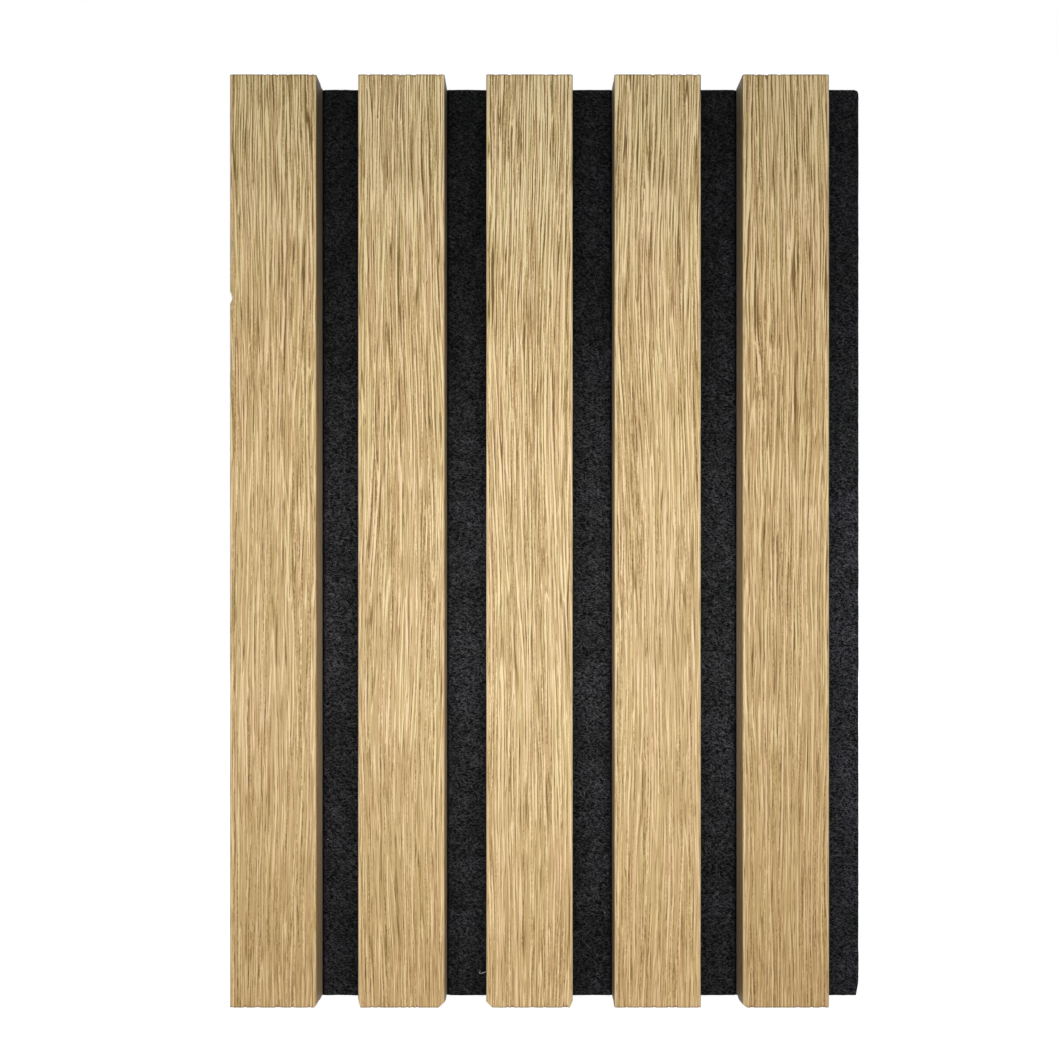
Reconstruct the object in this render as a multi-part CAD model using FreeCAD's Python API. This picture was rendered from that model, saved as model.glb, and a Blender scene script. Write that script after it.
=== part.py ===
"""Acoustic slat wall panel: a row of veneered strips stapled to a felt backing board.

Millimetres. +Z runs up along the slats and +X to the right as seen from the front, which faces -Y.
The origin is the centre of the felt's back face, the face that lies against the wall.
"""

import FreeCAD, Part
import os

# Slats
SLAT_COUNT = 5
SLAT_WIDTH = 27.0
SLAT_DEPTH = 12.0
SLAT_LENGTH = 291.0
SLAT_GAP = 13.0
VENEER_THICKNESS = 0.6
CORE_EDGE_RADIUS = 0.1

# Felt board, with the lap that spaces the next panel, its trimmed corners and a lower end left too long
FELT_THICKNESS = 9.0
FELT_LAP = 12.5
FELT_OVERHANG = 0.6
LAP_TOP_RADIUS = 1.5
LAP_BOTTOM_CUT_WIDTH = 0.8
LAP_BOTTOM_CUT_HEIGHT = 4.0

# Staples, driven from the back through the felt into the cores
STAPLE_ROWS = 3
STAPLE_END_MARGIN = 45.0
STAPLE_CROWN_WIDTH = 6.0
STAPLE_WIRE_WIDTH = 1.25
STAPLE_WIRE_THICKNESS = 1.0
STAPLE_INNER_BEND = 0.4
STAPLE_POINT_LENGTH = 1.6
STAPLE_POINT_TIP = 0.15
STAPLE_SINK = 0.3
STAPLE_BITE = 7.3

# Corners that the saw broke off the lower ends: slat, side (-1 left, 1 right), width and height
BROKEN_CORNERS = (
    (1, 1, 0.6, 1.5),
    (2, -1, 0.8, 2.9),
    (2, 1, 1.9, 1.8),
    (3, -1, 2.0, 2.0),
    (3, 1, 1.0, 2.2),
    (5, -1, 1.4, 1.0),
)
BROKEN_CORNER_DEPTH = 7.0

# Splinter lost from the left edge of one slat, measured from the slat's upper end
SPLINTER_SLAT = 1
SPLINTER_FROM_TOP = 69.5
SPLINTER_LENGTH = 5.0
SPLINTER_WIDTH = 1.1
SPLINTER_DEPTH = 3.2

# How far a cutting tool reaches out of the face that it enters
TOOL_REACH = 1.0

SLAT_PITCH = SLAT_WIDTH + SLAT_GAP
PANEL_WIDTH = SLAT_COUNT * SLAT_PITCH - SLAT_GAP + FELT_LAP
LEFT_X = -PANEL_WIDTH / 2
RIGHT_X = PANEL_WIDTH / 2
FELT_LENGTH = SLAT_LENGTH + FELT_OVERHANG
TOP_Z = FELT_LENGTH / 2
BOTTOM_Z = TOP_Z - SLAT_LENGTH
FELT_BOTTOM_Z = -FELT_LENGTH / 2
FELT_FACE_Y = -FELT_THICKNESS
FRONT_Y = FELT_FACE_Y - SLAT_DEPTH
VENEER_EDGE_RADIUS = CORE_EDGE_RADIUS + VENEER_THICKNESS
STAPLE_OUTER_BEND = STAPLE_INNER_BEND + STAPLE_WIRE_THICKNESS
STAPLE_BACK_Y = -STAPLE_SINK
STAPLE_TIP_Y = FELT_FACE_Y - STAPLE_BITE
STAPLE_ROW_PITCH = (SLAT_LENGTH - 2 * STAPLE_END_MARGIN) / (STAPLE_ROWS - 1)


def vec(x, y, z):
    return FreeCAD.Vector(x, y, z)


def slat_left(number):
    """Left side of a slat; slats are numbered from 1 at the flush edge."""
    return LEFT_X + (number - 1) * SLAT_PITCH


def prism(points, direction):
    """Solid swept from a flat polygon."""
    outline = Part.makePolygon(points + [points[0]])
    return Part.Face(outline).extrude(direction)


def tetrahedron(a, b, c, d):
    """Solid with four corners, used as the shape of a broken-off sliver."""
    faces = []
    for corners in ((a, b, c), (a, b, d), (a, c, d), (b, c, d)):
        faces.append(Part.Face(Part.makePolygon(list(corners) + [corners[0]])))
    solid = Part.Solid(Part.Shell(faces))
    solid.fix(1e-6, 1e-6, 1e-6)
    return solid


def strip(left, right, front, edge_radius):
    """Strip standing on the felt face, with its two front edges rounded."""
    box = Part.makeBox(right - left, FELT_FACE_Y - front, SLAT_LENGTH, vec(left, front, BOTTOM_Z))
    front_edges = []
    for edge in box.Edges:
        upright = abs(edge.BoundBox.ZLength - SLAT_LENGTH) < 1e-6
        at_front = abs(edge.BoundBox.YMax - front) < 1e-6
        if upright and at_front:
            front_edges.append(edge)
    return box.makeFillet(edge_radius, front_edges)


def slat_outside(number):
    left = slat_left(number)
    return strip(left, left + SLAT_WIDTH, FRONT_Y, VENEER_EDGE_RADIUS)


def slat_inside(number):
    left = slat_left(number) + VENEER_THICKNESS
    right = slat_left(number) + SLAT_WIDTH - VENEER_THICKNESS
    return strip(left, right, FRONT_Y + VENEER_THICKNESS, CORE_EDGE_RADIUS)


def broken_corner(number, side, width, height):
    """Sliver off a slat's lower front corner, deepest at the front and running out towards the felt."""
    edge_x = slat_left(number) + (SLAT_WIDTH if side > 0 else 0.0)
    corner = vec(edge_x + side * TOOL_REACH, FRONT_Y - TOOL_REACH, BOTTOM_Z - TOOL_REACH)
    grow = 1.0 + TOOL_REACH / width + TOOL_REACH / height + TOOL_REACH / BROKEN_CORNER_DEPTH
    along_x = corner + vec(-side * width * grow, 0, 0)
    along_y = corner + vec(0, BROKEN_CORNER_DEPTH * grow, 0)
    along_z = corner + vec(0, 0, height * grow)
    return tetrahedron(corner, along_x, along_y, along_z)


def splinter():
    """Sliver off a slat's left front edge, pointed at both ends."""
    edge_x = slat_left(SPLINTER_SLAT)
    middle_z = TOP_Z - SPLINTER_FROM_TOP
    outer_x = edge_x - TOOL_REACH
    outer_y = FRONT_Y - TOOL_REACH
    grow = 1.0 + TOOL_REACH / SPLINTER_WIDTH + TOOL_REACH / SPLINTER_DEPTH
    half_length = SPLINTER_LENGTH * grow / 2
    return tetrahedron(
        vec(outer_x, outer_y, middle_z - half_length),
        vec(outer_x, outer_y, middle_z + half_length),
        vec(outer_x + SPLINTER_WIDTH * grow, outer_y, middle_z),
        vec(outer_x, outer_y + SPLINTER_DEPTH * grow, middle_z),
    )


def damage(number):
    """Every sliver that one slat has lost."""
    slivers = []
    for slat, side, width, height in BROKEN_CORNERS:
        if slat == number:
            slivers.append(broken_corner(slat, side, width, height))
    if number == SPLINTER_SLAT:
        slivers.append(splinter())
    return slivers


def staple_centres(number):
    """Middle of each staple of one slat, as x and z."""
    middle_x = slat_left(number) + SLAT_WIDTH / 2
    first_z = BOTTOM_Z + STAPLE_END_MARGIN
    return [(middle_x, first_z + row * STAPLE_ROW_PITCH) for row in range(STAPLE_ROWS)]


def back_edges(box):
    """The two edges of a staple blank that become its bends."""
    height = box.BoundBox.ZLength
    back = box.BoundBox.YMax
    found = []
    for edge in box.Edges:
        upright = abs(edge.BoundBox.ZLength - height) < 1e-6
        if upright and abs(edge.BoundBox.YMin - back) < 1e-6:
            found.append(edge)
    return found


def staple_blank(x, z, inset, bend_radius):
    """Block as wide as the staple less the inset, from the leg tips back to the crown, with rounded bends."""
    half = STAPLE_CROWN_WIDTH / 2 - inset
    length = STAPLE_BACK_Y - inset - STAPLE_TIP_Y
    corner = vec(x - half, STAPLE_TIP_Y, z - STAPLE_WIRE_WIDTH / 2)
    block = Part.makeBox(2 * half, length, STAPLE_WIRE_WIDTH, corner)
    return block.makeFillet(bend_radius, back_edges(block))


def staple(x, z):
    """Wire staple with rounded bends and legs ground to a point on the inside."""
    outside = staple_blank(x, z, 0.0, STAPLE_OUTER_BEND)
    inside = staple_blank(x, z, STAPLE_WIRE_THICKNESS, STAPLE_INNER_BEND)
    wire = outside.cut(inside)
    bottom_z = z - STAPLE_WIRE_WIDTH / 2
    inner = STAPLE_CROWN_WIDTH / 2 - STAPLE_WIRE_THICKNESS
    tip = STAPLE_CROWN_WIDTH / 2 - STAPLE_POINT_TIP
    for side in (-1, 1):
        grind = prism(
            [
                vec(x + side * inner, STAPLE_TIP_Y, bottom_z),
                vec(x + side * tip, STAPLE_TIP_Y, bottom_z),
                vec(x + side * inner, STAPLE_TIP_Y + STAPLE_POINT_LENGTH, bottom_z),
            ],
            vec(0, 0, STAPLE_WIRE_WIDTH),
        )
        wire = wire.cut(grind)
    return wire.Solids[0]


def crown_recess(x, z):
    """Dent that the sunk crown leaves in the felt, from the back face down to the crown and its bends."""
    depth = STAPLE_SINK + STAPLE_OUTER_BEND
    corner = vec(x - STAPLE_CROWN_WIDTH / 2, -depth, z - STAPLE_WIRE_WIDTH / 2)
    dent = Part.makeBox(STAPLE_CROWN_WIDTH, depth + TOOL_REACH, STAPLE_WIRE_WIDTH, corner)
    return dent.cut(staple_blank(x, z, 0.0, STAPLE_OUTER_BEND))


def make_staples():
    """Staples of each slat, by slat number."""
    by_slat = {}
    for number in range(1, SLAT_COUNT + 1):
        by_slat[number] = [staple(x, z) for x, z in staple_centres(number)]
    return by_slat


def make_core(number, staples):
    core = slat_inside(number)
    return core.cut(damage(number) + staples).Solids[0]


def make_veneer(number):
    veneer = slat_outside(number).cut(slat_inside(number))
    slivers = damage(number)
    if slivers:
        veneer = veneer.cut(slivers)
    return veneer.Solids[0]


def make_felt(staples):
    """Board with the lap's upper corner rounded, its lower corner trimmed, and a seat for each staple."""
    board = Part.makeBox(PANEL_WIDTH, FELT_THICKNESS, FELT_LENGTH, vec(LEFT_X, FELT_FACE_Y, FELT_BOTTOM_Z))
    top_corner = []
    for edge in board.Edges:
        box = edge.BoundBox
        if abs(box.XMin - RIGHT_X) < 1e-6 and abs(box.ZMin - TOP_Z) < 1e-6:
            top_corner.append(edge)
    board = board.makeFillet(LAP_TOP_RADIUS, top_corner)

    trim = prism(
        [
            vec(RIGHT_X - LAP_BOTTOM_CUT_WIDTH, FELT_FACE_Y, FELT_BOTTOM_Z),
            vec(RIGHT_X, FELT_FACE_Y, FELT_BOTTOM_Z),
            vec(RIGHT_X, FELT_FACE_Y, FELT_BOTTOM_Z + LAP_BOTTOM_CUT_HEIGHT),
        ],
        vec(0, FELT_THICKNESS, 0),
    )
    seats = [trim]
    for number, group in staples.items():
        seats += group
        seats += [crown_recess(x, z) for x, z in staple_centres(number)]
    return board.cut(seats).Solids[0]


def export(node, shape):
    shape.exportStep("parts/" + node + ".step")


def main():
    os.makedirs("parts", exist_ok=True)
    staples = make_staples()
    export("felt_backing", make_felt(staples))
    for number in range(1, SLAT_COUNT + 1):
        export("slat_core_%d" % number, make_core(number, staples[number]))
        export("slat_veneer_%d" % number, make_veneer(number))
    every_staple = [wire for group in staples.values() for wire in group]
    export("staples", Part.makeCompound(every_staple))


main()
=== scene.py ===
"""Dresses an acoustic slat wall panel in oak veneer, fibreboard, needled felt and wire, on a plain stage.

Metres throughout. The slats run up +Z, the front faces -Y and the felt's back lies at Y = 0.
"""

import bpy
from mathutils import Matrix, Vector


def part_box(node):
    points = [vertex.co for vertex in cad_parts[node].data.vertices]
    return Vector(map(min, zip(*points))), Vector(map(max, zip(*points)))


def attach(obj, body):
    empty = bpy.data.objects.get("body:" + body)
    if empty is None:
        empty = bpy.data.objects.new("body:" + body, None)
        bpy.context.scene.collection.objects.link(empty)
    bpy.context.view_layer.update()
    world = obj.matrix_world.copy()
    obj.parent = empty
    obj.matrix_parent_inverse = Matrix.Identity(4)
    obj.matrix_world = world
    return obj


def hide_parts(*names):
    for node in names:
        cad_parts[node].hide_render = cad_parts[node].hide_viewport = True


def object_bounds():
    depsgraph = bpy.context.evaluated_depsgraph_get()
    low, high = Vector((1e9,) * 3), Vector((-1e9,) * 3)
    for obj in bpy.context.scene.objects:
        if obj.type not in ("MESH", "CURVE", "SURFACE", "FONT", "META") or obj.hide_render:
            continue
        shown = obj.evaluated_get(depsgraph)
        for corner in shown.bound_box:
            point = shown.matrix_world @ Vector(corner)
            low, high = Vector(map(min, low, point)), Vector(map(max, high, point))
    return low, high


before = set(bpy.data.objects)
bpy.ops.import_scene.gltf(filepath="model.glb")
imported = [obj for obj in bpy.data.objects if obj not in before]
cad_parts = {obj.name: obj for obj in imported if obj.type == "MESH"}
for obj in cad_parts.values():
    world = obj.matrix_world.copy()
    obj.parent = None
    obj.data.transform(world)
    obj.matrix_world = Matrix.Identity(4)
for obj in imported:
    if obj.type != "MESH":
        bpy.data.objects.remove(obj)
CAD_BOX = [list(corner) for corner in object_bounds()]

import math
import random

import bmesh
import bpy
from bpy.props import FloatProperty, FloatVectorProperty, IntProperty, PointerProperty
from mathutils import Matrix, Vector, noise

bl_info = {
    "name": "Slat wall panel",
    "version": (1, 0, 0),
    "blender": (4, 5, 0),
    "location": "3D View > Sidebar > Slat panel",
    "description": "Builds the oak slats, felt board and stage of an acoustic slat wall panel",
    "category": "Object",
}

MM = 0.001
BODY = "root"

# Where the solids stand
SLAT_NUMBERS = sorted(int(name.rsplit("_", 1)[1]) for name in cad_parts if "veneer" in name)
FELT_LOW, FELT_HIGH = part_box("felt_backing")
FELT_FACE_Y = FELT_LOW.y

# The veneer's section and the slivers that the slats have lost, as in the solids
VENEER_THICKNESS = 0.6 * MM
VENEER_EDGE_RADIUS = 0.7 * MM
TOOL_REACH = 1.0 * MM
BROKEN_CORNERS = {
    1: [(1, 0.6 * MM, 1.5 * MM)],
    2: [(-1, 0.8 * MM, 2.9 * MM), (1, 1.9 * MM, 1.8 * MM)],
    3: [(-1, 2.0 * MM, 2.0 * MM), (1, 1.0 * MM, 2.2 * MM)],
    5: [(-1, 1.4 * MM, 1.0 * MM)],
}
BROKEN_CORNER_DEPTH = 7.0 * MM
SPLINTER_SLAT = 1
SPLINTER_FROM_TOP = 69.5 * MM
SPLINTER_LENGTH = 5.0 * MM
SPLINTER_WIDTH = 1.1 * MM
SPLINTER_DEPTH = 3.2 * MM

# The felt lap's trimmed corners and the staples that dent the felt's back
LAP_TOP_RADIUS = 1.5 * MM
LAP_BOTTOM_CUT_WIDTH = 0.8 * MM
LAP_BOTTOM_CUT_HEIGHT = 4.0 * MM
STAPLE_ROWS = 3
STAPLE_END_MARGIN = 45.0 * MM
STAPLE_CROWN_WIDTH = 6.0 * MM


class OakSettings(bpy.types.PropertyGroup):
    """Tones and surface of the oak veneer."""

    pale: FloatVectorProperty(
        name="Pale streaks", description="Late wood and thin light lines", subtype="COLOR",
        default=(0.950, 0.775, 0.465), min=0.0, max=1.0)
    straw: FloatVectorProperty(
        name="Straw", description="Main tone of the veneer", subtype="COLOR",
        default=(0.658, 0.479, 0.238), min=0.0, max=1.0)
    tan: FloatVectorProperty(
        name="Tan", description="Porous early wood", subtype="COLOR",
        default=(0.434, 0.294, 0.120), min=0.0, max=1.0)
    brown: FloatVectorProperty(
        name="Brown", description="Darkest lines and pores", subtype="COLOR",
        default=(0.190, 0.119, 0.037), min=0.0, max=1.0)
    burnt: FloatVectorProperty(
        name="Burnt edge", description="Fibre ends browned by the saw", subtype="COLOR",
        default=(0.060, 0.036, 0.014), min=0.0, max=1.0)
    # A grey tone mixed into the sides that face a channel, growing towards the felt
    dust: FloatVectorProperty(
        name="Dust", description="Grey dust on the slats' sides, down in the channels", subtype="COLOR",
        default=(0.600, 0.520, 0.460), min=0.0, max=1.0)
    # Partly the veneer leaf's browner tone, partly painted shade that darkens the outer slats
    leaf_tone_and_shade: FloatVectorProperty(
        name="Deep tone", description="Share of the light that the darkest veneer leaf gives back",
        subtype="COLOR", default=(0.850, 0.810, 0.760), min=0.0, max=1.0)
    contrast_top: FloatProperty(
        name="Contrast at the top", description="Strength of the figure at the upper end",
        default=1.65, min=0.0, max=3.0)
    contrast_bottom: FloatProperty(
        name="Contrast at the bottom", description="Strength of the figure at the lower end",
        default=0.6, min=0.0, max=3.0)
    tear: FloatProperty(
        name="Saw tear", description="Longest splinter torn from a sawn end",
        subtype="DISTANCE", unit="LENGTH", default=0.8 * MM, min=0.0, max=3.0 * MM)


class FeltSettings(bpy.types.PropertyGroup):
    """Make of the needled felt."""

    black: FloatVectorProperty(
        name="Black", description="Hollows between the fibres", subtype="COLOR",
        default=(0.0005, 0.0005, 0.0006), min=0.0, max=1.0)
    grey: FloatVectorProperty(
        name="Grey", description="Fibres that catch the light", subtype="COLOR",
        default=(0.1000, 0.0990, 0.1140), min=0.0, max=1.0)
    fleck: FloatVectorProperty(
        name="Fleck", description="Palest of the loose fibres", subtype="COLOR",
        default=(0.340, 0.340, 0.350), min=0.0, max=1.0)
    cell: FloatProperty(
        name="Mesh cell", description="Spacing of the board's mesh",
        subtype="DISTANCE", unit="LENGTH", default=1.5 * MM, min=0.5 * MM, max=10.0 * MM)
    wave: FloatProperty(
        name="Edge wave", description="How far the knife-cut edges stray",
        subtype="DISTANCE", unit="LENGTH", default=0.22 * MM, min=0.0, max=2.0 * MM)
    fibres: IntProperty(
        name="Loose fibres", description="Fibres that stand off the felt", default=5200, min=0, max=7000)
    fibre_radius: FloatProperty(
        name="Fibre radius", description="Half the thickness of a loose fibre",
        subtype="DISTANCE", unit="LENGTH", default=0.028 * MM, min=0.005 * MM, max=0.2 * MM)


class StageSettings(bpy.types.PropertyGroup):
    """Camera and light."""

    lens: FloatProperty(
        name="Lens", description="Focal length on a 36 mm sensor", subtype="DISTANCE_CAMERA",
        default=40.93, min=10.0, max=300.0)
    distance: FloatProperty(
        name="Distance", description="Camera to the slats' front faces",
        subtype="DISTANCE", unit="LENGTH", default=375.0 * MM, min=50.0 * MM, max=5.0)
    rise: FloatProperty(
        name="Rise", description="Vertical shift of the lens, as a share of the image",
        default=0.03, min=-0.5, max=0.5)
    key_power: FloatProperty(
        name="Key light", description="Power of the lamp beside the camera",
        subtype="POWER", unit="POWER", default=0.85, min=0.0, max=100.0)
    ambient: FloatProperty(
        name="Ambient", description="Strength of the even light from all round",
        default=0.25, min=0.0, max=2.0)


# Meshes


def as_mesh(name, bm):
    """Turns a finished bmesh into a mesh."""
    mesh = bpy.data.meshes.new(name)
    bm.to_mesh(mesh)
    bm.free()
    return mesh


def take_in(whole, bm):
    """Adds a finished bmesh to a larger one."""
    mesh = as_mesh("part_of_whole", bm)
    whole.from_mesh(mesh)
    bpy.data.meshes.remove(mesh)


def add_object(name, data):
    """Puts a mesh, lamp or camera in the scene."""
    made = bpy.data.objects.new(name, data)
    bpy.context.scene.collection.objects.link(made)
    return made


def new_piece(name, bm, material):
    """Makes a bmesh an object that rides on the panel, with smooth shading."""
    bmesh.ops.recalc_face_normals(bm, faces=bm.faces)
    piece = add_object(name, as_mesh(name, bm))
    for polygon in piece.data.polygons:
        polygon.use_smooth = True
    piece.data.materials.append(material)
    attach(piece, BODY)
    return piece


def dress(node_name, material):
    """Gives a solid that is shown as it is its finish."""
    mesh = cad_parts[node_name].data
    mesh.materials.clear()
    mesh.materials.append(material)


def end_spacing(length, first, growth, widest):
    """Distances along a length, close together at both ends and widening towards the middle."""
    near = [0.0]
    step = first
    while step < widest and near[-1] + step < length / 2:
        near.append(near[-1] + step)
        step *= growth
    middle = length - 2 * near[-1]
    count = max(1, round(middle / widest))
    inner = [near[-1] + middle * i / count for i in range(1, count)]
    return near + inner + [length - d for d in reversed(near)]


def sheet_grid(columns, rows, marks):
    """A flat sheet as a bmesh, its points by row and column, and a layer for each value they carry."""
    bm = bmesh.new()
    for mark in marks:
        bm.verts.layers.float.new(mark)
    layers = [bm.verts.layers.float[mark] for mark in marks]
    bmesh.ops.create_grid(bm, x_segments=columns - 1, y_segments=rows - 1, size=0.5)
    ordered = sorted(bm.verts, key=lambda v: (round(v.co.y * (rows - 1)), round(v.co.x * (columns - 1))))
    return bm, [ordered[row * columns:(row + 1) * columns] for row in range(rows)], layers


def sliver(*corners):
    """Cutter with four corners, in the shape of a broken-off sliver."""
    bm = bmesh.new()
    for corner in corners:
        bm.verts.new(corner)
    bmesh.ops.convex_hull(bm, input=bm.verts)
    bmesh.ops.recalc_face_normals(bm, faces=bm.faces)
    return add_object("sliver", as_mesh("sliver", bm))


def corner_sliver(low, high, side, width, height):
    """Sliver off a slat's lower front corner."""
    edge_x = high.x if side > 0 else low.x
    corner = Vector((edge_x + side * TOOL_REACH, low.y - TOOL_REACH, low.z - TOOL_REACH))
    grow = 1.0 + TOOL_REACH / width + TOOL_REACH / height + TOOL_REACH / BROKEN_CORNER_DEPTH
    return sliver(
        corner,
        corner + Vector((-side * width * grow, 0, 0)),
        corner + Vector((0, BROKEN_CORNER_DEPTH * grow, 0)),
        corner + Vector((0, 0, height * grow)),
    )


def edge_sliver(low, high):
    """Splinter off a slat's left front edge."""
    corner = Vector((low.x - TOOL_REACH, low.y - TOOL_REACH, high.z - SPLINTER_FROM_TOP))
    grow = 1.0 + TOOL_REACH / SPLINTER_WIDTH + TOOL_REACH / SPLINTER_DEPTH
    reach = Vector((0, 0, SPLINTER_LENGTH * grow / 2))
    return sliver(
        corner - reach,
        corner + reach,
        corner + Vector((SPLINTER_WIDTH * grow, 0, 0)),
        corner + Vector((0, SPLINTER_DEPTH * grow, 0)),
    )


def cut_away(piece, cutters):
    """Cuts each sliver out of a piece and removes the cutters."""
    for cutter in cutters:
        cut = piece.modifiers.new("cut", "BOOLEAN")
        cut.operation = "DIFFERENCE"
        cut.solver = "EXACT"
        cut.object = cutter
    bpy.context.view_layer.update()
    shaped = piece.evaluated_get(bpy.context.evaluated_depsgraph_get())
    plain = piece.data
    piece.data = bpy.data.meshes.new_from_object(shaped)
    piece.modifiers.clear()
    bpy.data.meshes.remove(plain)
    piece.data.name = piece.name
    for cutter in cutters:
        mesh = cutter.data
        bpy.data.objects.remove(cutter)
        bpy.data.meshes.remove(mesh)


# Oak slats

# The veneer's mesh, and what its points carry
SIDE_COLUMNS = 10
ARRIS_COLUMNS = 7
FRONT_COLUMNS = 110
END_FIRST_ROW = 0.15 * MM
END_ROW_GROWTH = 1.7
MIDDLE_ROW = 12.0 * MM
OAK_MARKS = ("across", "arris_highlight", "faces_left", "faces_right", "greyed_towards_felt", "sawn", "leaf_tone_and_shade", "figured")
SIDE_ENDS_AT = 3
GREYING_STARTS_AT = 0.25

# Each slat's own darkening, partly its leaf's browner tone and partly painted shade that grows from the
# middle slat outwards, and how strong its figure
LEAF_TONES_AND_SHADE = (0.36, 0.16, 0.0, 0.14, 0.62)
FIGURE_STRENGTHS = (0.94, 1.04, 1.22, 0.97, 1.04)

# The sawn ends
SLAT_SEED = 17
TEAR_FADES_OVER = 5.0 * MM
SAW_WANDER = 0.10 * MM
SAW_WANDER_STEP = 0.31
SAW_WANDER_SEEDS = (0.0, 100.0)
SAW_BURN = 0.42 * MM
SPLINTERS_PER_END = 9
SPLINTER_SHARES = (0.3, 1.0)
BESIDE_SPLINTER_SHARES = (0.1, 0.6)


def veneer_section(low, high):
    """Points along the veneer's width, from one rear edge over the front to the other, as x and y."""
    radius = VENEER_EDGE_RADIUS
    points = []
    for i in range(SIDE_COLUMNS):
        points.append((low.x, high.y + (low.y + radius - high.y) * i / SIDE_COLUMNS))
    for i in range(ARRIS_COLUMNS):
        turn = math.pi / 2 * i / ARRIS_COLUMNS
        points.append((low.x + radius * (1 - math.cos(turn)), low.y + radius * (1 - math.sin(turn))))
    for i in range(FRONT_COLUMNS):
        points.append((low.x + radius + (high.x - low.x - 2 * radius) * i / FRONT_COLUMNS, low.y))
    for i in range(ARRIS_COLUMNS):
        turn = math.pi / 2 * i / ARRIS_COLUMNS
        points.append((high.x - radius * (1 - math.sin(turn)), low.y + radius * (1 - math.cos(turn))))
    for i in range(SIDE_COLUMNS + 1):
        points.append((high.x, low.y + radius + (high.y - low.y - radius) * i / SIDE_COLUMNS))
    return points


def torn_end(columns, longest, rng):
    """How far each column of a sawn end falls short: a slight wander and a few torn splinters."""
    seed = rng.uniform(*SAW_WANDER_SEEDS)
    short = []
    for i in range(columns):
        short.append(SAW_WANDER * (0.5 + 0.5 * noise.noise((i * SAW_WANDER_STEP, seed, 0.0))))
    for _ in range(SPLINTERS_PER_END):
        middle = rng.randrange(columns)
        depth = longest * rng.uniform(*SPLINTER_SHARES)
        short[middle] += depth
        for beside in (middle - 1, middle + 1):
            if 0 <= beside < columns:
                short[beside] += depth * rng.uniform(*BESIDE_SPLINTER_SHARES)
    return short


def oak_slat(number, material, oak):
    """Veneer folded over one slat's core, with sawn ends and what the saw broke off."""
    low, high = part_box("slat_veneer_%d" % number)
    length = high.z - low.z
    rng = random.Random(number * SLAT_SEED)
    section = veneer_section(low, high)
    heights = end_spacing(length, END_FIRST_ROW, END_ROW_GROWTH, MIDDLE_ROW)
    bm, rows, layers = sheet_grid(len(section), len(heights), OAK_MARKS)
    across, arris_highlight, faces_left, faces_right, greyed_towards_felt, sawn, leaf_tone_and_shade, figured = layers
    first = SIDE_COLUMNS
    last = len(section) - 1 - SIDE_COLUMNS
    torn_low = torn_end(len(section), oak.tear, rng)
    torn_high = torn_end(len(section), oak.tear, rng)
    for height, row in zip(heights, rows):
        near_low = max(0.0, 1.0 - height / TEAR_FADES_OVER)
        near_high = max(0.0, 1.0 - (length - height) / TEAR_FADES_OVER)
        for column, (vert, (x, y)) in enumerate(zip(row, section)):
            z = low.z + height + torn_low[column] * near_low - torn_high[column] * near_high
            vert.co = (x, y, z)
            from_left = column - first
            from_right = last - column
            vert[across] = x - y + 2 * low.y if from_left < from_right else x + y
            # Painted highlight: the rounded front edges get a paler band
            vert[arris_highlight] = 1.0 if SIDE_ENDS_AT <= min(from_left, from_right) <= ARRIS_COLUMNS else 0.0
            # Sides that face a channel; the finish paints shade on them by height
            vert[faces_left] = 1.0 if from_left < SIDE_ENDS_AT and number > SLAT_NUMBERS[0] else 0.0
            vert[faces_right] = 1.0 if from_right < SIDE_ENDS_AT and number < SLAT_NUMBERS[-1] else 0.0
            depth = (y - low.y) / (high.y - low.y)
            # Grey tone on the channel-facing sides, growing towards the felt
            vert[greyed_towards_felt] = max(0.0, depth - GREYING_STARTS_AT) * max(vert[faces_left], vert[faces_right])
            vert[sawn] = max(0.0, 1.0 - min(height, length - height) / SAW_BURN)
            vert[leaf_tone_and_shade] = LEAF_TONES_AND_SHADE[number - 1]
            vert[figured] = FIGURE_STRENGTHS[number - 1]
    bmesh.ops.recalc_face_normals(bm, faces=bm.faces)
    if sum(face.normal.y for face in bm.faces) > 0:
        bmesh.ops.reverse_faces(bm, faces=bm.faces)
    bmesh.ops.solidify(bm, geom=bm.faces[:], thickness=VENEER_THICKNESS)
    piece = new_piece("oak_slat_%d" % number, bm, material)
    cutters = [corner_sliver(low, high, *broken) for broken in BROKEN_CORNERS.get(number, [])]
    if number == SPLINTER_SLAT:
        cutters.append(edge_sliver(low, high))
    if cutters:
        cut_away(piece, cutters)
    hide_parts("slat_veneer_%d" % number)


# Felt

# The board's mesh and rim
FELT_END_ROW = 0.3 * MM
FELT_ROW_GROWTH = 1.25
FELT_WALL_CUTS = 5
FELT_RIM = 0.35 * MM
FELT_RIM_SEGMENTS = 2
FELT_RIM_ANGLE = math.radians(50.0)

# The knife cuts, each with a wander of its own: slow waves, and a share of quick ones
WAVE_LENGTH = 7.0 * MM
WAVE_REACH = 8.0 * MM
QUICK_WAVES = 3.7
QUICK_SHARE = 0.25
QUICK_SEED = 5.0
RIGHT_CUT = 1.0
LEFT_CUT = 2.0
LOW_CUT = 3.0
HIGH_CUT = 4.0

# The face's lumps, where slats press into it, and the dents round the staples in the back
FELT_LUMP = 1.0 * MM
FELT_LUMP_DEPTH = 0.16 * MM
FELT_LUMP_NOISE = (1.0, 2.0, 2)
PRESSED_WIDTH = 0.75 * MM
PRESSED_DEPTH = 0.30 * MM
PRESSED_COLUMNS = (0.35 * MM, 0.8 * MM)
PRESSED_CLEAR = 1.2 * MM
DENT_DEPTH = 0.8 * MM
DENT_RADIUS = 1.7 * MM


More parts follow.
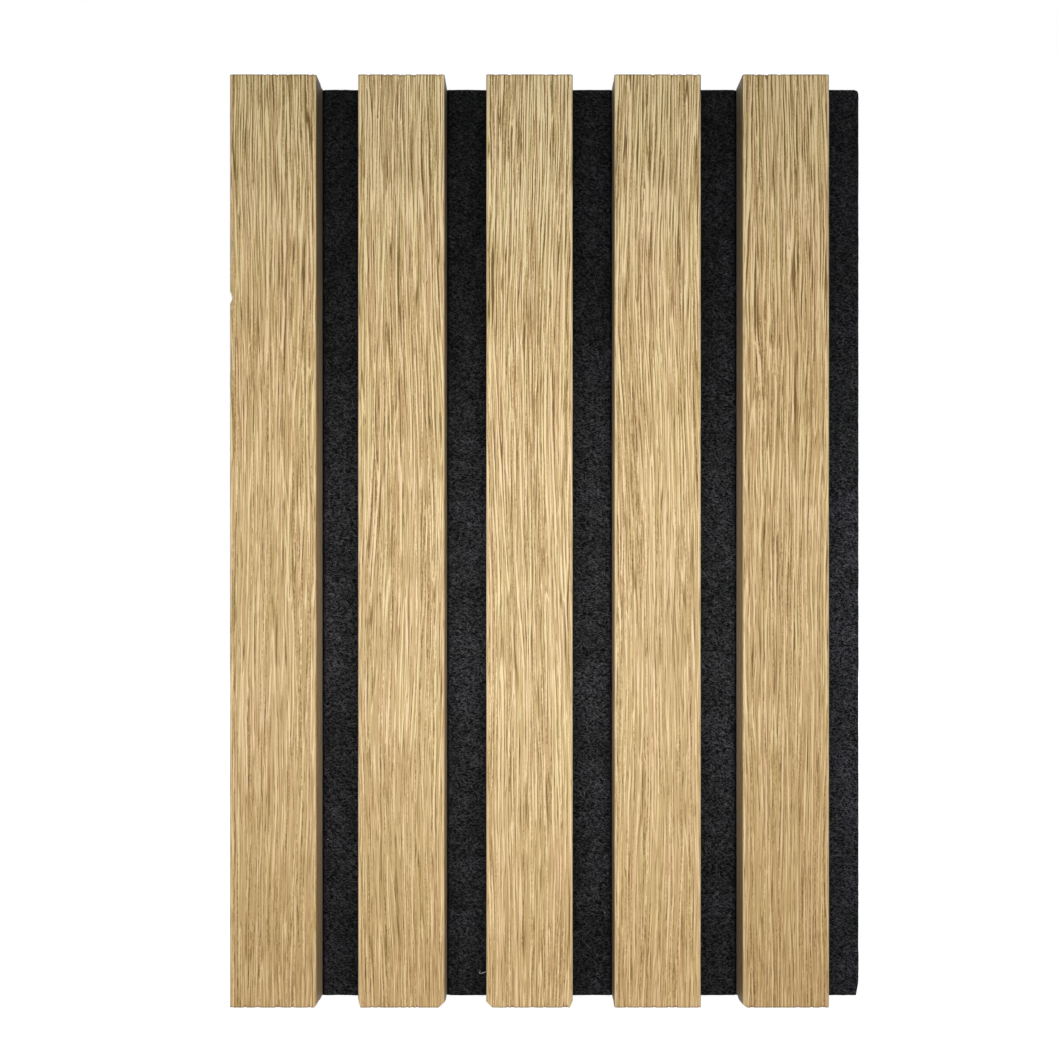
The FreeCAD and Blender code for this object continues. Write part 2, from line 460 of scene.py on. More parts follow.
def staple_places():
    """Middle of each staple crown, as x and z."""
    places = []
    for number in SLAT_NUMBERS:
        low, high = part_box("slat_core_%d" % number)
        pitch = (high.z - low.z - 2 * STAPLE_END_MARGIN) / (STAPLE_ROWS - 1)
        for row in range(STAPLE_ROWS):
            places.append(((low.x + high.x) / 2, low.z + STAPLE_END_MARGIN + row * pitch))
    return places


def slat_edges():
    """Left and right x of every slat but the first one's left side, which is the board's own edge."""
    edges = []
    for number in SLAT_NUMBERS:
        low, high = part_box("slat_veneer_%d" % number)
        edges += [low.x, high.x]
    return edges[1:]


def with_edge_columns(across, edges):
    """Column places with a few more beside each slat edge, where the slat presses into the felt."""
    steps = [side * reach for side in (-1, 1) for reach in PRESSED_COLUMNS]
    beside = [edge + step for edge in edges for step in steps]
    kept = [place for place in across if min(abs(place - edge) for edge in edges) > PRESSED_CLEAR]
    return sorted(kept + beside + edges)


def lap_edge(z):
    """How far the lap's edge stands back at a height, for its rounded and its trimmed corner."""
    above = z - (FELT_HIGH.z - LAP_TOP_RADIUS)
    if above > 0:
        inside = max(0.0, LAP_TOP_RADIUS ** 2 - above ** 2)
        return LAP_TOP_RADIUS - math.sqrt(inside)
    below = FELT_LOW.z + LAP_BOTTOM_CUT_HEIGHT - z
    return LAP_BOTTOM_CUT_WIDTH * max(0.0, below) / LAP_BOTTOM_CUT_HEIGHT


def stray(distance, seed):
    """Slow wander of a knife cut, from 0 to 1."""
    slow = noise.noise((distance / WAVE_LENGTH, seed, 0.0))
    quick = noise.noise((distance / WAVE_LENGTH * QUICK_WAVES, seed, QUICK_SEED))
    return min(1.0, max(0.0, 0.5 + 0.5 * slow + QUICK_SHARE * quick))


def felt_board(material, felt):
    """One board with knife-cut edges, a lumpy face and a dent at each staple."""
    width = FELT_HIGH.x - FELT_LOW.x
    height = FELT_HIGH.z - FELT_LOW.z
    edges = [edge - FELT_LOW.x for edge in slat_edges()]
    across = with_edge_columns(end_spacing(width, FELT_END_ROW, FELT_ROW_GROWTH, felt.cell), edges)
    up = end_spacing(height, FELT_END_ROW, FELT_ROW_GROWTH, felt.cell)
    bm, rows, (pressed_and_shaded,) = sheet_grid(len(across), len(up), ("pressed_and_shaded",))
    for rise, row in zip(up, rows):
        right_back = lap_edge(FELT_LOW.z + rise) + felt.wave * stray(rise, RIGHT_CUT)
        left_back = felt.wave * stray(rise, LEFT_CUT)
        for along, vert in zip(across, row):
            low_back = felt.wave * stray(along, LOW_CUT)
            high_back = felt.wave * stray(along, HIGH_CUT)
            x = FELT_LOW.x + along
            x -= right_back * max(0.0, 1.0 - (width - along) / WAVE_REACH)
            x += left_back * max(0.0, 1.0 - along / WAVE_REACH)
            z = FELT_LOW.z + rise
            z += low_back * max(0.0, 1.0 - rise / WAVE_REACH)
            z -= high_back * max(0.0, 1.0 - (height - rise) / WAVE_REACH)
            vert.co = (x, FELT_FACE_Y, z)
            nearest = min(abs(along - edge) for edge in edges)
            # The strip beside each slat is pressed in, and the felt's finish also paints it with shade
            vert[pressed_and_shaded] = max(0.0, 1.0 - nearest / PRESSED_WIDTH)
    front = set(bm.verts)
    grown = bmesh.ops.extrude_face_region(bm, geom=bm.faces[:])
    back = [item for item in grown["geom"] if isinstance(item, bmesh.types.BMVert)]
    bmesh.ops.translate(bm, verts=back, vec=(0.0, FELT_HIGH.y - FELT_FACE_Y, 0.0))
    bmesh.ops.recalc_face_normals(bm, faces=bm.faces)
    places = staple_places()
    for vert in back:
        vert[pressed_and_shaded] = 0.0
        vert.co.y -= felt_dent(vert.co, places)
    for vert in front:
        lump = noise.fractal(vert.co / FELT_LUMP, *FELT_LUMP_NOISE)
        vert.co.y += FELT_LUMP_DEPTH * min(1.0, max(0.0, 0.5 + lump)) + PRESSED_DEPTH * vert[pressed_and_shaded]
    walls = [edge for edge in bm.edges if (edge.verts[0] in front) != (edge.verts[1] in front)]
    bmesh.ops.subdivide_edges(bm, edges=walls, cuts=FELT_WALL_CUTS, use_grid_fill=True)
    piece = new_piece("felt_board", bm, material)
    rim = piece.modifiers.new("rim", "BEVEL")
    rim.width = FELT_RIM
    rim.segments = FELT_RIM_SEGMENTS
    rim.limit_method = "ANGLE"
    rim.angle_limit = FELT_RIM_ANGLE
    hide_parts("felt_backing")


def felt_dent(point, places):
    """Depth of the felt's back below its plane, round the staple crowns."""
    depth = 0.0
    for x, z in places:
        beside = max(0.0, abs(point.x - x) - STAPLE_CROWN_WIDTH / 2)
        apart = math.hypot(beside, point.z - z)
        depth = max(depth, DENT_DEPTH * math.exp(-0.5 * (apart / DENT_RADIUS) ** 2))
    return depth


# The loose fibres: each shape's bend as a radius and degrees, and how they lie
FIBRE_SEED = 41
FIBRE_SIDES = 3
FIBRE_STEPS = 4
FIBRE_CURVES = (
    (1.2 * MM, 150.0),
    (1.8 * MM, 110.0),
    (2.6 * MM, 85.0),
    (0.8 * MM, 200.0),
    (4.0 * MM, 50.0),
)
FIBRE_SIZES = (0.6, 1.3)
FIBRE_STAND_OFF = 0.22 * MM
FIBRE_LEAN = 0.10
SCATTER_BATCH = 100


def fibre_shape(radius, curve_radius, degrees):
    """A short curved fibre lying in X and Z, thinner at its tip."""
    bm = bmesh.new()
    start = Matrix.Translation((curve_radius, 0, 0))
    ring = bmesh.ops.create_circle(bm, segments=FIBRE_SIDES, radius=radius, cap_ends=True, matrix=start)
    geom = ring["verts"] + bm.edges[:] + bm.faces[:]
    swept = bmesh.ops.spin(
        bm, geom=geom, cent=(0, 0, 0), axis=(0, 1, 0), dvec=(0, 0, 0), angle=math.radians(degrees),
        steps=FIBRE_STEPS, use_merge=False)
    tip = [item for item in swept["geom_last"] if isinstance(item, bmesh.types.BMVert)]
    bmesh.ops.pointmerge(bm, verts=tip, merge_co=sum((v.co for v in tip), Vector()) / len(tip))
    bmesh.ops.translate(bm, verts=bm.verts, vec=(-curve_radius, 0, 0))
    bmesh.ops.recalc_face_normals(bm, faces=bm.faces)
    return as_mesh("fibre", bm)


def open_spans():
    """Strips of felt that no slat covers, each as its left and right x."""
    boxes = [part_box("slat_veneer_%d" % number) for number in SLAT_NUMBERS]
    lefts = [high.x for _, high in boxes]
    rights = [low.x for low, _ in boxes[1:]] + [FELT_HIGH.x]
    return list(zip(lefts, rights))


def scattered(shapes, placed):
    """One bmesh of many placed copies; placed holds the number of a shape and its matrix."""
    whole = bmesh.new()
    for start in range(0, len(placed), SCATTER_BATCH):
        batch = bmesh.new()
        for number, matrix in placed[start:start + SCATTER_BATCH]:
            before = len(batch.verts)
            batch.from_mesh(shapes[number])
            batch.verts.ensure_lookup_table()
            bmesh.ops.transform(batch, matrix=matrix, verts=batch.verts[before:])
        take_in(whole, batch)
    return whole


def felt_fibres(material, felt):
    """Loose fibres that lie on the open felt between the slats."""
    rng = random.Random(FIBRE_SEED)
    shapes = [fibre_shape(felt.fibre_radius, *curve) for curve in FIBRE_CURVES]
    spans = open_spans()
    placed = []
    for _ in range(felt.fibres):
        number = rng.randrange(len(shapes))
        x = rng.uniform(*rng.choice(spans))
        z = rng.uniform(FELT_LOW.z, FELT_HIGH.z)
        y = FELT_FACE_Y + FELT_LUMP_DEPTH / 2 - rng.uniform(0.0, FIBRE_STAND_OFF)
        lean_x = Matrix.Rotation(rng.gauss(0.0, FIBRE_LEAN), 4, "X")
        lean_z = Matrix.Rotation(rng.gauss(0.0, FIBRE_LEAN), 4, "Z")
        turn = Matrix.Rotation(rng.uniform(0.0, 2 * math.pi), 4, "Y")
        size = Matrix.Scale(rng.uniform(*FIBRE_SIZES), 4)
        placed.append((number, Matrix.Translation((x, y, z)) @ lean_x @ lean_z @ turn @ size))
    bm = scattered(shapes, placed)
    keep_within(bm)
    new_piece("felt_fibres", bm, material)
    for shape in shapes:
        bpy.data.meshes.remove(shape)


def keep_within(bm):
    """Draws fibres that reach past the board's edges back to them."""
    for vert in bm.verts:
        vert.co.x = min(FELT_HIGH.x, max(FELT_LOW.x, vert.co.x))
        vert.co.z = min(FELT_HIGH.z, max(FELT_LOW.z, vert.co.z))


# The lint's threads, by points in x and z in millimetres
LINT_RADIUS = 0.15 * MM
LINT_TIP = 0.3
LINT_SIDES = 6
LINT_HEIGHT = 0.10 * MM
LINT_THREADS = (
    (
        (-22.0, -137.7), (-22.4, -138.3), (-22.3, -138.55), (-21.9, -138.55),
        (-21.2, -138.4), (-20.4, -138.1), (-19.8, -137.9),
    ),
    ((17.8, -119.0), (18.05, -118.9), (18.3, -119.05)),
    ((-71.3, -95.6), (-71.1, -95.4), (-70.9, -95.5)),
)


def thread(points, radius):
    """Thin round thread through the given points, pointed at both ends."""
    bm = bmesh.new()
    rings = []
    for i, point in enumerate(points):
        before = points[max(0, i - 1)]
        after = points[min(len(points) - 1, i + 1)]
        facing = (after - before).to_track_quat("Z", "Y").to_matrix().to_4x4()
        is_tip = i in (0, len(points) - 1)
        ring = bmesh.ops.create_circle(
            bm, segments=LINT_SIDES, radius=radius * (LINT_TIP if is_tip else 1.0), cap_ends=is_tip,
            matrix=Matrix.Translation(point) @ facing)
        rings.append({edge for vert in ring["verts"] for edge in vert.link_edges})
    for one, next_one in zip(rings, rings[1:]):
        bmesh.ops.bridge_loops(bm, edges=list(one | next_one))
    bmesh.ops.recalc_face_normals(bm, faces=bm.faces)
    return bm


def lint(material):
    """Pale threads caught on the felt."""
    whole = bmesh.new()
    for places in LINT_THREADS:
        points = [Vector((x * MM, FELT_FACE_Y - LINT_HEIGHT, z * MM)) for x, z in places]
        take_in(whole, thread(points, LINT_RADIUS))
    new_piece("lint", whole, material)


# Materials

# A shift by axis; how far off a vein's slope is measured, and how far from its line its shade lies
SHIFT_SHARES = (1.0, 0.37, 1.71)
VEIN_STEP = 0.1
VEIN_SHADE_AT = 1.5


class Finish:
    """A new material and short calls that add a node and give back its output."""

    def __init__(self, name, flat=False):
        self.dimensions = "2D" if flat else "3D"
        self.material = bpy.data.materials.new(name)
        self.material.use_nodes = True
        self.tree = self.material.node_tree
        self.surface = self.tree.nodes["Principled BSDF"]
        self.place = self.add("ShaderNodeTexCoord").outputs["Object"]

    def add(self, kind, **settings):
        """A new node of a kind, with its settings."""
        made = self.tree.nodes.new(kind)
        for key, value in settings.items():
            setattr(made, key, value)
        return made

    def feed(self, socket, value):
        """Links a node's output to a socket, or sets the socket to a plain value."""
        if isinstance(value, bpy.types.NodeSocket):
            self.tree.links.new(value, socket)
        else:
            socket.default_value = value

    def maths(self, operation, first, second=0.0):
        """Result of one step of arithmetic."""
        made = self.add("ShaderNodeMath", operation=operation)
        self.feed(made.inputs[0], first)
        self.feed(made.inputs[1], second)
        return made.outputs[0]

    def times(self, first, *others):
        """Product of two or more numbers."""
        for other in others:
            first = self.maths("MULTIPLY", first, other)
        return first

    def less(self, first, second):
        """Difference of two numbers."""
        return self.maths("SUBTRACT", first, second)

    def vectors(self, operation, first, second):
        """Result of one step of arithmetic on vectors."""
        made = self.add("ShaderNodeVectorMath", operation=operation)
        self.feed(made.inputs[0], first)
        self.feed(made.inputs[1], second)
        return made.outputs[0]

    def turned(self, place, degrees):
        """A place turned about the line from front to back."""
        made = self.add("ShaderNodeVectorRotate", rotation_type="Y_AXIS")
        self.feed(made.inputs["Vector"], place)
        made.inputs["Angle"].default_value = math.radians(degrees)
        return made.outputs[0]

    def mark(self, name):
        """A value that the piece's own points carry."""
        return self.add("ShaderNodeAttribute", attribute_name=name).outputs["Fac"]

    def along(self, axis):
        """The piece's place along one axis."""
        made = self.add("ShaderNodeSeparateXYZ")
        self.feed(made.inputs[0], self.place)
        return made.outputs[axis]

    def risen(self):
        """Height on the panel, from 0 at its foot to 1 at its top."""
        return self.ranged(self.along("Z"), CAD_BOX[0][2], CAD_BOX[1][2])

    def unfolded(self):
        """Place on the flat sheet before it was folded: across the grain as x, along it as y."""
        made = self.add("ShaderNodeCombineXYZ")
        self.feed(made.inputs["X"], self.mark("across"))
        self.feed(made.inputs["Y"], self.along("Z"))
        return made.outputs[0]

    def sized(self, place, sizes, shift):
        """A place counted in the given sizes, moved so that two patterns don't match."""
        counts = [1.0 / size for size in sizes] + [1.0] * (3 - len(sizes))
        scaled = self.vectors("MULTIPLY", place, tuple(counts))
        return self.vectors("ADD", scaled, tuple(shift * share for share in SHIFT_SHARES))

    def mottle(self, place, sizes, shift, detail=1.0, roughness=0.5, colour=False):
        """Cloudy noise with spots of the given sizes in metres: x, y and z, or x and y on a flat finish."""
        made = self.add("ShaderNodeTexNoise", noise_dimensions=self.dimensions)
        self.feed(made.inputs["Vector"], self.sized(place, sizes, shift))
        made.inputs["Scale"].default_value = 1.0
        made.inputs["Detail"].default_value = detail
        made.inputs["Roughness"].default_value = roughness
        return made.outputs["Color" if colour else "Fac"]

    def smooth(self, place, sizes, shift):
        """Cloudy noise with no smaller spots in it."""
        return self.mottle(place, sizes, shift, detail=0.0)

    def coming(self, place, pattern, limits):
        """How far something comes in at a place, as smooth noise goes from one limit to the other."""
        return self.ranged(self.smooth(place, *pattern), *limits)

    def veins(self, place, sizes, shift, half_width, shade):
        """Even light lines where smooth noise passes its middle, each with a dark line on its right."""
        step = sizes[0] * VEIN_STEP
        here = self.smooth(place, sizes, shift)
        beside = self.smooth(self.vectors("ADD", place, (step, 0.0, 0.0)), sizes, shift)
        steps = self.maths("DIVIDE", self.less(here, 0.5), self.less(beside, here))
        right_of = self.times(steps, step)
        past = self.less(right_of, VEIN_SHADE_AT * half_width)
        light = self.ranged(self.maths("ABSOLUTE", right_of), 0.0, half_width, 1.0, 0.0, smooth=True)
        dark = self.ranged(self.maths("ABSOLUTE", past), 0.0, half_width, shade, 0.0, smooth=True)
        return self.less(light, dark)

    def paired(self, place, sizes, shift, step):
        """Smooth noise less its copy one step aside, so that each light line has a dark one beside it."""
        here = self.smooth(place, sizes, shift)
        beside = self.smooth(self.vectors("ADD", place, (step, step, 0.0)), sizes, shift)
        return self.less(here, beside)

    def strayed(self, place, sizes, shift, reach):
        """A place moved by cloudy noise, up to about the given reach in metres along x, y and z."""
        several = sum(1 for distance in reach if distance) > 1
        cloud = self.mottle(place, sizes, shift, colour=several)
        centred = self.vectors("SUBTRACT", cloud, (0.5, 0.5, 0.5))
        return self.vectors("ADD", place, self.vectors("MULTIPLY", centred, reach))

    def ranged(self, value, low, high, to_low=0.0, to_high=1.0, smooth=False):
        """A value's place between low and high, as a value from to_low to to_high."""
        made = self.add("ShaderNodeMapRange", interpolation_type="SMOOTHSTEP" if smooth else "LINEAR")
        self.feed(made.inputs["Value"], value)
        made.inputs["From Min"].default_value = low
        made.inputs["From Max"].default_value = high
        made.inputs["To Min"].default_value = to_low
        made.inputs["To Max"].default_value = to_high
        return made.outputs["Result"]

    def weighed(self, parts):
        """Sum of values about their middles, each with its weight, about 0.5."""
        total = 0.5
        for value, middle, weight in parts:
            total = self.maths("ADD", total, self.times(self.less(value, middle), weight))
        return total

    def ramp(self, value, stops):
        """Colour that goes with a value, by stops of a place and a colour."""
        made = self.add("ShaderNodeValToRGB")
        self.feed(made.inputs["Fac"], value)
        elements = made.color_ramp.elements
        while len(elements) < len(stops):
            elements.new(1.0)
        for element, (position, colour) in zip(elements, stops):
            element.position = position
            element.color = opaque(colour)
        return made.outputs["Color"]

    def mixed(self, share, first, second, blend="MIX"):
        """The first colour with a share of the second."""
        made = self.add("ShaderNodeMix", data_type="RGBA", blend_type=blend)
        self.feed(made.inputs[0], share)
        self.feed(made.inputs[6], first)
        self.feed(made.inputs[7], second)
        return made.outputs[2]

    def tinted(self, colour, tint, share=1.0):
        """A colour darkened or tinted by another."""
        return self.mixed(share, colour, tint, blend="MULTIPLY")

    def relief(self, height, depth, strength):
        """Fine relief of the surface, up to a depth in metres."""
        made = self.add("ShaderNodeBump")
        self.feed(made.inputs["Height"], height)
        made.inputs["Distance"].default_value = depth
        made.inputs["Strength"].default_value = strength
        self.feed(self.surface.inputs["Normal"], made.outputs["Normal"])

    def set(self, **sockets):
        """Sets the surface's sockets, and gives back the finished material."""
        for key, value in sockets.items():
            self.feed(self.surface.inputs[key.replace("_", " ")], value)
        return self.material


def opaque(colour):
    """A colour with its alpha."""
    return (*colour, 1.0)


def greys(tones):
    """Stops of a grey ramp."""
    return [(at, (tone, tone, tone)) for at, tone in tones]


def even(size):
    """The same size along x, y and z."""
    return (size, size, size)


# The oak's patterns: sizes across and along the grain, and a shift that keeps each apart from the others
LEAN = ((32 * MM, 190 * MM), 3.1)
DRIFT = ((6 * MM, 45 * MM), 17.9)
WAVER = ((1.5 * MM, 13 * MM), 7.7)
JOGS = ((0.9 * MM, 5.0 * MM), 47.3)
STAGGER = ((0.6 * MM, 3.0 * MM), 63.1)
BANDS = ((2.6 * MM, 200 * MM), 1.3)
RINGS = ((0.60 * MM, 28 * MM), 11.9)
HAIRS = ((0.38 * MM, 15 * MM), 23.3)
BOLD_VEINS = ((2.2 * MM, 80 * MM), 37.1)
BOLD_PLACES = ((0.9 * MM, 20 * MM), 41.1)
FINE_VEINS = ((1.3 * MM, 50 * MM), 53.7)
FINE_PLACES = ((0.8 * MM, 13 * MM), 59.3)
PORE_ROWS = ((1.3 * MM, 60 * MM), 67.7)
PORE_DASHES = ((0.9 * MM, 1.1 * MM), 71.3)
SPLITS = ((1.5 * MM, 60 * MM), 79.1)
SPLIT_PLACES = ((0.7 * MM, 5.0 * MM), 97.9)
SPECKS = ((0.32 * MM, 0.6 * MM), 91.9)
HUES = ((2.2 * MM, 50 * MM), 29.0)
HIGHLIGHT_PATCHES = ((1.0 * MM, 9 * MM), 83.0)

# How far the grain strays, across it or along it
LEAN_REACH = (6 * MM, 0.0, 0.0)
DRIFT_REACH = (1.0 * MM, 0.0, 0.0)
WAVER_REACH = (0.34 * MM, 0.0, 0.0)
JOG_REACH = (0.17 * MM, 0.0, 0.0)
STAGGER_REACH = (0.0, 3.0 * MM, 0.0)

# From a light streak to the dark one beside it; each vein's half width and the shade on its right
RING_STEP = 0.38 * MM
HAIR_STEP = 0.26 * MM
BOLD_LINE = (0.50 * MM, 0.9)
FINE_LINE = (0.34 * MM, 1.0)
PORE_LINE = (0.30 * MM, 0.0)
SPLIT_LINE = (0.26 * MM, 0.0)

# Values of the noise between which a pattern comes in
BOLD_SHOWS = (0.33, 0.56)
FINE_SHOWS = (0.37, 0.62)
EARLY_WOOD_ENDS = (0.40, 0.66)
DASHES_SHOW = (0.40, 0.60)
SPLITS_SHOW = (0.48, 0.62)
HIGHLIGHT_SHOWS = (0.35, 0.60)

# The middle of each value and its weight in the figure, and the figure's own middle and rise in contrast
RING_WEIGHT = (0.0, 0.32)
HAIR_WEIGHT = (0.0, 0.44)
STREAK_WEIGHT = (0.5, 1.0)
BAND_WEIGHT = (0.5, 0.14)
SPECK_WEIGHT = (0.5, 0.26)
BOLD_WEIGHT = (0.02, 0.47)
FINE_WEIGHT = (0.0, 0.37)
PORE_WEIGHT = 0.30
SPLIT_WEIGHT = 0.29
FIGURE_MIDDLE = 0.531
CONTRAST_POWER = 2.5

# Where the figure has each tone; two limits of it and the roughness there; shares of the painted arris
# highlight, the grey tone towards the felt and the saw's burn
OAK_TONES_AT = (0.06, 0.32, 0.56, 0.86)
OAK_ROUGHNESS = (0.2, 0.8, 0.68, 0.52)
HIGHLIGHT_SHARE = 0.45
GREYING_SHARE = 0.8
BURNT_SHARE = 0.75

# Tints by the leaf's own hue and by height from the foot to the top on the slats, and painted shade by
# height on the sides that face a channel
OAK_HUES = (
    (0.34, (0.985, 1.01, 0.96)),
    (0.5, (1.0, 1.0, 1.0)),
    (0.66, (1.015, 0.99, 1.02)),
)
OAK_TINTS = (
    (0.0, (1.0, 0.925, 0.865)),
    (0.38, (1.0, 0.972, 0.952)),
    (0.66, (1.0, 0.958, 0.908)),
    (1.0, (1.0, 1.0, 0.98)),
)
LEFT_SIDE_PAINTED_SHADE = (
    (0.0, 0.46), (0.10, 0.55), (0.28, 0.92), (0.45, 1.0), (0.63, 0.81), (0.80, 0.56), (0.97, 0.39),
)
RIGHT_SIDE_PAINTED_SHADE = (
    (0.0, 0.85), (0.10, 0.95), (0.28, 1.0), (0.45, 1.0), (0.63, 0.86), (0.80, 0.48), (0.97, 0.23),
)


def oak_finish(oak):
    """Straight-grained oak: bands, streaks, thin light and dark veins that come and go, and pores."""
    f = Finish("oak_veneer", flat=True)
    drift = f.strayed(f.strayed(f.unfolded(), *LEAN, LEAN_REACH), *DRIFT, DRIFT_REACH)
    grain = f.strayed(drift, *WAVER, WAVER_REACH)
    jogged = f.strayed(grain, *JOGS, JOG_REACH)
    staggered = f.strayed(grain, *STAGGER, STAGGER_REACH)

    bands = f.mottle(grain, *BANDS)
    rings = f.paired(jogged, *RINGS, RING_STEP)
    hairs = f.paired(jogged, *HAIRS, HAIR_STEP)
    speck = f.mottle(staggered, *SPECKS)
    bold = f.times(f.veins(jogged, *BOLD_VEINS, *BOLD_LINE), f.coming(grain, BOLD_PLACES, BOLD_SHOWS))
    fine = f.times(f.veins(jogged, *FINE_VEINS, *FINE_LINE), f.coming(grain, FINE_PLACES, FINE_SHOWS))
    splits = f.times(f.veins(jogged, *SPLITS, *SPLIT_LINE), f.coming(grain, SPLIT_PLACES, SPLITS_SHOW))
    early = f.ranged(bands, *EARLY_WOOD_ENDS, 1.0, 0.0, smooth=True)
    dashes = f.coming(staggered, PORE_DASHES, DASHES_SHOW)
    pores = f.times(f.veins(grain, *PORE_ROWS, *PORE_LINE), dashes, early)

    streaks = f.weighed(((rings, *RING_WEIGHT), (hairs, *HAIR_WEIGHT)))
    figure = f.weighed((
        (streaks, *STREAK_WEIGHT),
        (bands, *BAND_WEIGHT),
        (speck, *SPECK_WEIGHT),
        (bold, *BOLD_WEIGHT),
        (fine, *FINE_WEIGHT),
    ))
    rise = f.risen()
    by_height = f.maths("POWER", rise, CONTRAST_POWER)
    strength = f.ranged(by_height, 0.0, 1.0, oak.contrast_bottom, oak.contrast_top)
    strength = f.times(strength, f.mark("figured"))
    figure = f.maths("ADD", FIGURE_MIDDLE, f.times(f.less(figure, 0.5), strength))
    figure = f.less(figure, f.times(pores, PORE_WEIGHT))
    figure = f.less(figure, f.times(splits, SPLIT_WEIGHT))

    tones = (oak.brown, oak.tan, oak.straw, oak.pale)
    colour = f.ramp(figure, tuple(zip(OAK_TONES_AT, tones)))
    colour = f.tinted(colour, f.ramp(f.mottle(grain, *HUES), OAK_HUES))
    colour = f.tinted(colour, f.ramp(rise, OAK_TINTS))
    # Each slat's darkening: partly its leaf's browner tone, partly painted shade that grows towards the
    # outer slats
    colour = f.tinted(colour, opaque(oak.leaf_tone_and_shade), f.mark("leaf_tone_and_shade"))
    # Painted highlight: patches of the pale tone along the rounded front edges
    highlight_patches = f.ranged(f.mottle(drift, *HIGHLIGHT_PATCHES, detail=2.0), *HIGHLIGHT_SHOWS)
    colour = f.mixed(f.times(f.mark("arris_highlight"), highlight_patches, HIGHLIGHT_SHARE), colour, opaque(oak.pale))
    # Grey tone on the channel-facing sides, growing towards the felt
    colour = f.mixed(f.times(f.mark("greyed_towards_felt"), GREYING_SHARE), colour, opaque(oak.dust))
    # Painted shade by height on the sides that face a channel, lightest a little below the middle
    colour = f.tinted(colour, f.ramp(rise, greys(LEFT_SIDE_PAINTED_SHADE)), f.mark("faces_left"))
    colour = f.tinted(colour, f.ramp(rise, greys(RIGHT_SIDE_PAINTED_SHADE)), f.mark("faces_right"))
    colour = f.mixed(f.times(f.mark("sawn"), BURNT_SHARE), colour, opaque(oak.burnt))
    rough = f.ranged(figure, *OAK_ROUGHNESS)
    f.relief(streaks, depth=0.10 * MM, strength=0.35)
    return f.set(Base_Color=colour, Roughness=rough, Specular_IOR_Level=0.28)


# The pressed fibre's patterns, their weights and its tones
FLUFF = ((0.9 * MM, 0.5 * MM, 0.9 * MM), 2.2)
FLUFF_WEIGHT = (0.5, 0.9)
BOARD_DUST = (even(0.22 * MM), 9.1)
BOARD_DUST_WEIGHT = (0.5, 0.6)
FIBREBOARD_TONES = (
    (0.2, (0.20, 0.125, 0.062)),
    (0.5, (0.36, 0.245, 0.135)),
    (0.8, (0.50, 0.37, 0.23)),
)


def fibreboard_finish():
    """Pressed wood fibre, with sawn ends."""
    f = Finish("fibreboard")
    fluff = f.mottle(f.place, *FLUFF, detail=3.0, roughness=0.7)
    dust = f.mottle(f.place, *BOARD_DUST)
    mix = f.weighed(((fluff, *FLUFF_WEIGHT), (dust, *BOARD_DUST_WEIGHT)))
    f.relief(mix, depth=0.12 * MM, strength=0.5)
    return f.set(Base_Color=f.ramp(mix, FIBREBOARD_TONES), Roughness=0.85, Specular_IOR_Level=0.2)


# The felt's layers by the way their fibres run, in degrees; its patterns, and two limits with values there
FELT_LAYERS = (72.0, 90.0, 108.0, 35.0)
FELT_CURL = (even(1.5 * MM), 5.3)
FELT_CURL_REACH = (0.9 * MM, 0.0, 0.9 * MM)
FELT_FIBRE = (0.22 * MM, 0.22 * MM, 1.1 * MM)
FIRST_LAYER_SHIFT = 13.0
LAYER_SHIFT_STEP = 7.3
FELT_FIBRES_SHOW = (0.58, 0.73)
FELT_LUMPS = (even(1.2 * MM), 61.0)
LUMPS_CATCH = (0.3, 0.7, 0.65, 1.15)
FELT_PATCHES = (even(9 * MM), 77.0)
PATCHES_RISE = (0.36, 0.64, 0.76, 1.18)

# The felt's painted light by height, brightest a little below the middle, and its tints by patch and from
# left to right
FELT_LIGHT_BY_HEIGHT = (
    (0.0, 0.64), (0.07, 0.71), (0.24, 0.87), (0.42, 1.0), (0.59, 0.83), (0.76, 0.50), (0.93, 0.40),
)
PATCH_TINTS = (
    (0.38, (0.93, 1.0, 0.93)),
    (0.5, (1.0, 1.0, 1.0)),
    (0.62, (0.96, 0.95, 1.0)),
)
FELT_CASTS = (
    (0.15, (0.91, 0.93, 0.86)),
    (0.55, (0.94, 0.95, 0.885)),
    (0.78, (0.92, 0.93, 0.88)),
    (0.97, (1.0, 1.0, 1.0)),
)


def painted_felt_light(f):
    """Painted light on the felt by height: brightest a little below the middle."""
    return f.ramp(f.risen(), greys(FELT_LIGHT_BY_HEIGHT))


